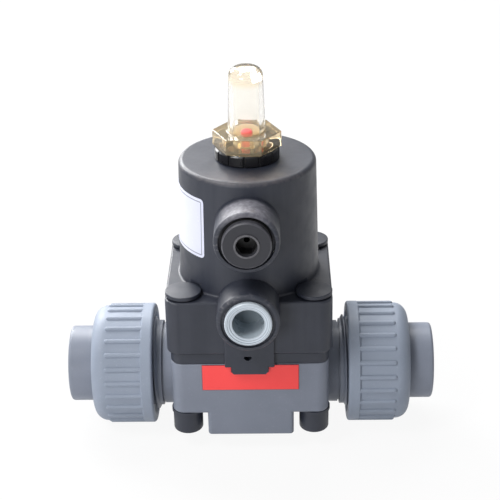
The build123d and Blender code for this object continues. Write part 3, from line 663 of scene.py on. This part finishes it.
def label():
    deselect()
    turn = math.radians(label_front_angle - label_back_angle)
    middle = math.radians((label_front_angle + label_back_angle) / 2)
    width = turn * label_radius
    bpy.ops.mesh.primitive_plane_add(size=1, location=(0, 0, (label_low_z + label_high_z) / 2),
                                     rotation=(math.pi / 2, 0, 0))
    sticker = begin("label", (width, label_high_z - label_low_z, 1))
    pick(sticker, lambda point: True, "VERT")
    bpy.ops.mesh.bevel(offset=label_corner, segments=label_corner_steps, affect="VERTICES")
    close()
    pick(sticker, lambda face: True)
    bpy.ops.mesh.inset(thickness=label_border)
    close()
    paint_selected(sticker, 1)
    pick(sticker, lambda face: face.material_index == 1)
    bpy.ops.mesh.inset(thickness=label_line_width)
    close()
    paint_selected(sticker, 0)
    bpy.ops.object.mode_set(mode="EDIT")
    for column in range(1, label_columns):
        cut((width * (column / label_columns - 0.5), 0, 0), (1, 0, 0))
    close()
    modify(sticker, "SIMPLE_DEFORM", deform_method="BEND", deform_axis="Z", angle=turn)
    bpy.ops.object.mode_set(mode="EDIT")
    bpy.ops.mesh.select_all(action="SELECT")
    bpy.ops.transform.translate(value=(0, -label_radius, 0))
    bpy.ops.transform.rotate(value=-middle, orient_axis="Z", center_override=(0, 0, 0))
    close()
    modify(sticker, "SHRINKWRAP", target=nodes["actuator_housing"],
           wrap_method="NEAREST_SURFACEPOINT", wrap_mode="ABOVE_SURFACE", offset=label_gap)
    modify(sticker, "SOLIDIFY", thickness=label_thickness, offset=1.0)
    tidy_normals(sticker)
    smooth(sticker)
    sticker.data.materials.append(label_white)
    sticker.data.materials.append(label_line)
    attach(sticker, "valve")


# Springs and diaphragm, which give way as the stem rises. Each is held at one height.


def yielding_piece(name):
    piece = bpy.data.objects.new(f"{name}_yielding", nodes[name].data.copy())
    bpy.context.scene.collection.objects.link(piece)
    tidy_normals(piece)
    smooth(piece)
    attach(piece, "valve")
    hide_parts(name)
    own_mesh(piece)


yielding_piece("closing_spring_outer")
yielding_piece("closing_spring_inner")
yielding_piece("diaphragm")
for side_name, side in (("left", -1), ("right", 1)):
    thread_ridge(f"{side_name}_body_thread", side, body_thread_root, body_thread_crest,
                 body_thread_first, body_thread_turns, body_grey, "valve")
    thread_ridge(f"{side_name}_nut_thread", side, nut_thread_root, nut_thread_crest,
                 nut_thread_first, nut_thread_turns, nut_grey, f"{side_name}_nut")
marking_plate()
label()


# Floor, light and camera

def seen_directly(tree):
    # One for what the camera sees itself, or in a reflection, or through clear plastic.
    path = tree.nodes.new("ShaderNodeLightPath")
    seen = calculate(tree, "MAXIMUM", path.outputs["Is Camera Ray"],
                     path.outputs["Is Glossy Ray"])
    return calculate(tree, "MAXIMUM", seen, path.outputs["Is Transmission Ray"])


floor_size = 8
floor_grey = (0.68, 0.68, 0.69, 1)
floor_roughness = 0.9
floor_glow = 0.92


def backdrop():
    material, tree, shader = new_material("backdrop", floor_roughness)
    shader.inputs["Base Color"].default_value = floor_grey
    glow = tree.nodes.new("ShaderNodeEmission")
    mix = tree.nodes.new("ShaderNodeMixShader")
    share = calculate(tree, "MULTIPLY", seen_directly(tree), floor_glow)
    tree.links.new(share, mix.inputs["Fac"])
    tree.links.new(shader.outputs["BSDF"], mix.inputs[1])
    tree.links.new(glow.outputs["Emission"], mix.inputs[2])
    tree.links.new(mix.outputs["Shader"], tree.nodes["Material Output"].inputs["Surface"])
    return material


def stage():
    deselect()
    bpy.ops.mesh.primitive_plane_add(size=floor_size, location=(0, 0, cad_low.z))
    floor = begin("floor")
    floor.data.materials.append(backdrop())


def area_light(name, place, target, size, power):
    data = bpy.data.lights.new(name, "AREA")
    data.shape = "RECTANGLE"
    data.size = size[0]
    data.size_y = size[1]
    data.energy = power
    lamp = bpy.data.objects.new(name, data)
    bpy.context.scene.collection.objects.link(lamp)
    lamp.location = place
    lamp.rotation_euler = (Vector(target) - Vector(place)).to_track_quat("-Z", "Y").to_euler()


studio_mirrored = 0.5
studio_fill = 0.2


def studio():
    # Pale room: full to the camera and through clear plastic, half in reflections, dim as a light.
    world = bpy.data.worlds.new("studio")
    bpy.context.scene.world = world
    world.use_nodes = True
    tree = world.node_tree
    background = tree.nodes["Background"]
    background.inputs["Color"].default_value = (1, 1, 1, 1)
    path = tree.nodes.new("ShaderNodeLightPath")
    glow = calculate(tree, "MAXIMUM", path.outputs["Is Camera Ray"],
                     path.outputs["Is Transmission Ray"])
    mirrored = product(tree, path.outputs["Is Glossy Ray"], studio_mirrored)
    glow = calculate(tree, "MAXIMUM", glow, mirrored)
    tree.links.new(calculate(tree, "MAXIMUM", glow, studio_fill), background.inputs["Strength"])


stage()
studio()
area_light("key", place=(-0.42, -0.30, 0.72), target=(0, 0, 0.05), size=(0.30, 0.30), power=4.2)
area_light("front", place=(-0.42, -0.80, 0.20), target=(0, 0, 0.05), size=(0.36, 0.3), power=2.7)
area_light("top", place=(-0.08, 0.44, 0.70), target=(0, 0, 0.06), size=(0.5, 0.36), power=4.4)
area_light("back", place=(-0.38, 0.54, 0.39), target=(0, 0, 0.06), size=(0.5, 0.34), power=8.0)

camera_place = Vector((0.009063, -0.425842, 0.269051))
camera_right = Vector((0.99977, 0.011706, -0.017839))
camera_up = Vector((0.010822, 0.442329, 0.896788))
camera_forward = Vector((-0.018388, 0.896777, -0.442101))
sensor_width_mm = 36.0
lens_mm = 99.26
camera_data = bpy.data.cameras.new("camera")
camera_data.sensor_width = sensor_width_mm
camera_data.lens = lens_mm
camera = bpy.data.objects.new("camera", camera_data)
bpy.context.scene.collection.objects.link(camera)
turn = Matrix((camera_right, camera_up, -camera_forward)).transposed().to_4x4()
camera.matrix_world = Matrix.Translation(camera_place) @ turn
bpy.context.scene.camera = camera
bpy.context.scene.view_settings.view_transform = "Standard"
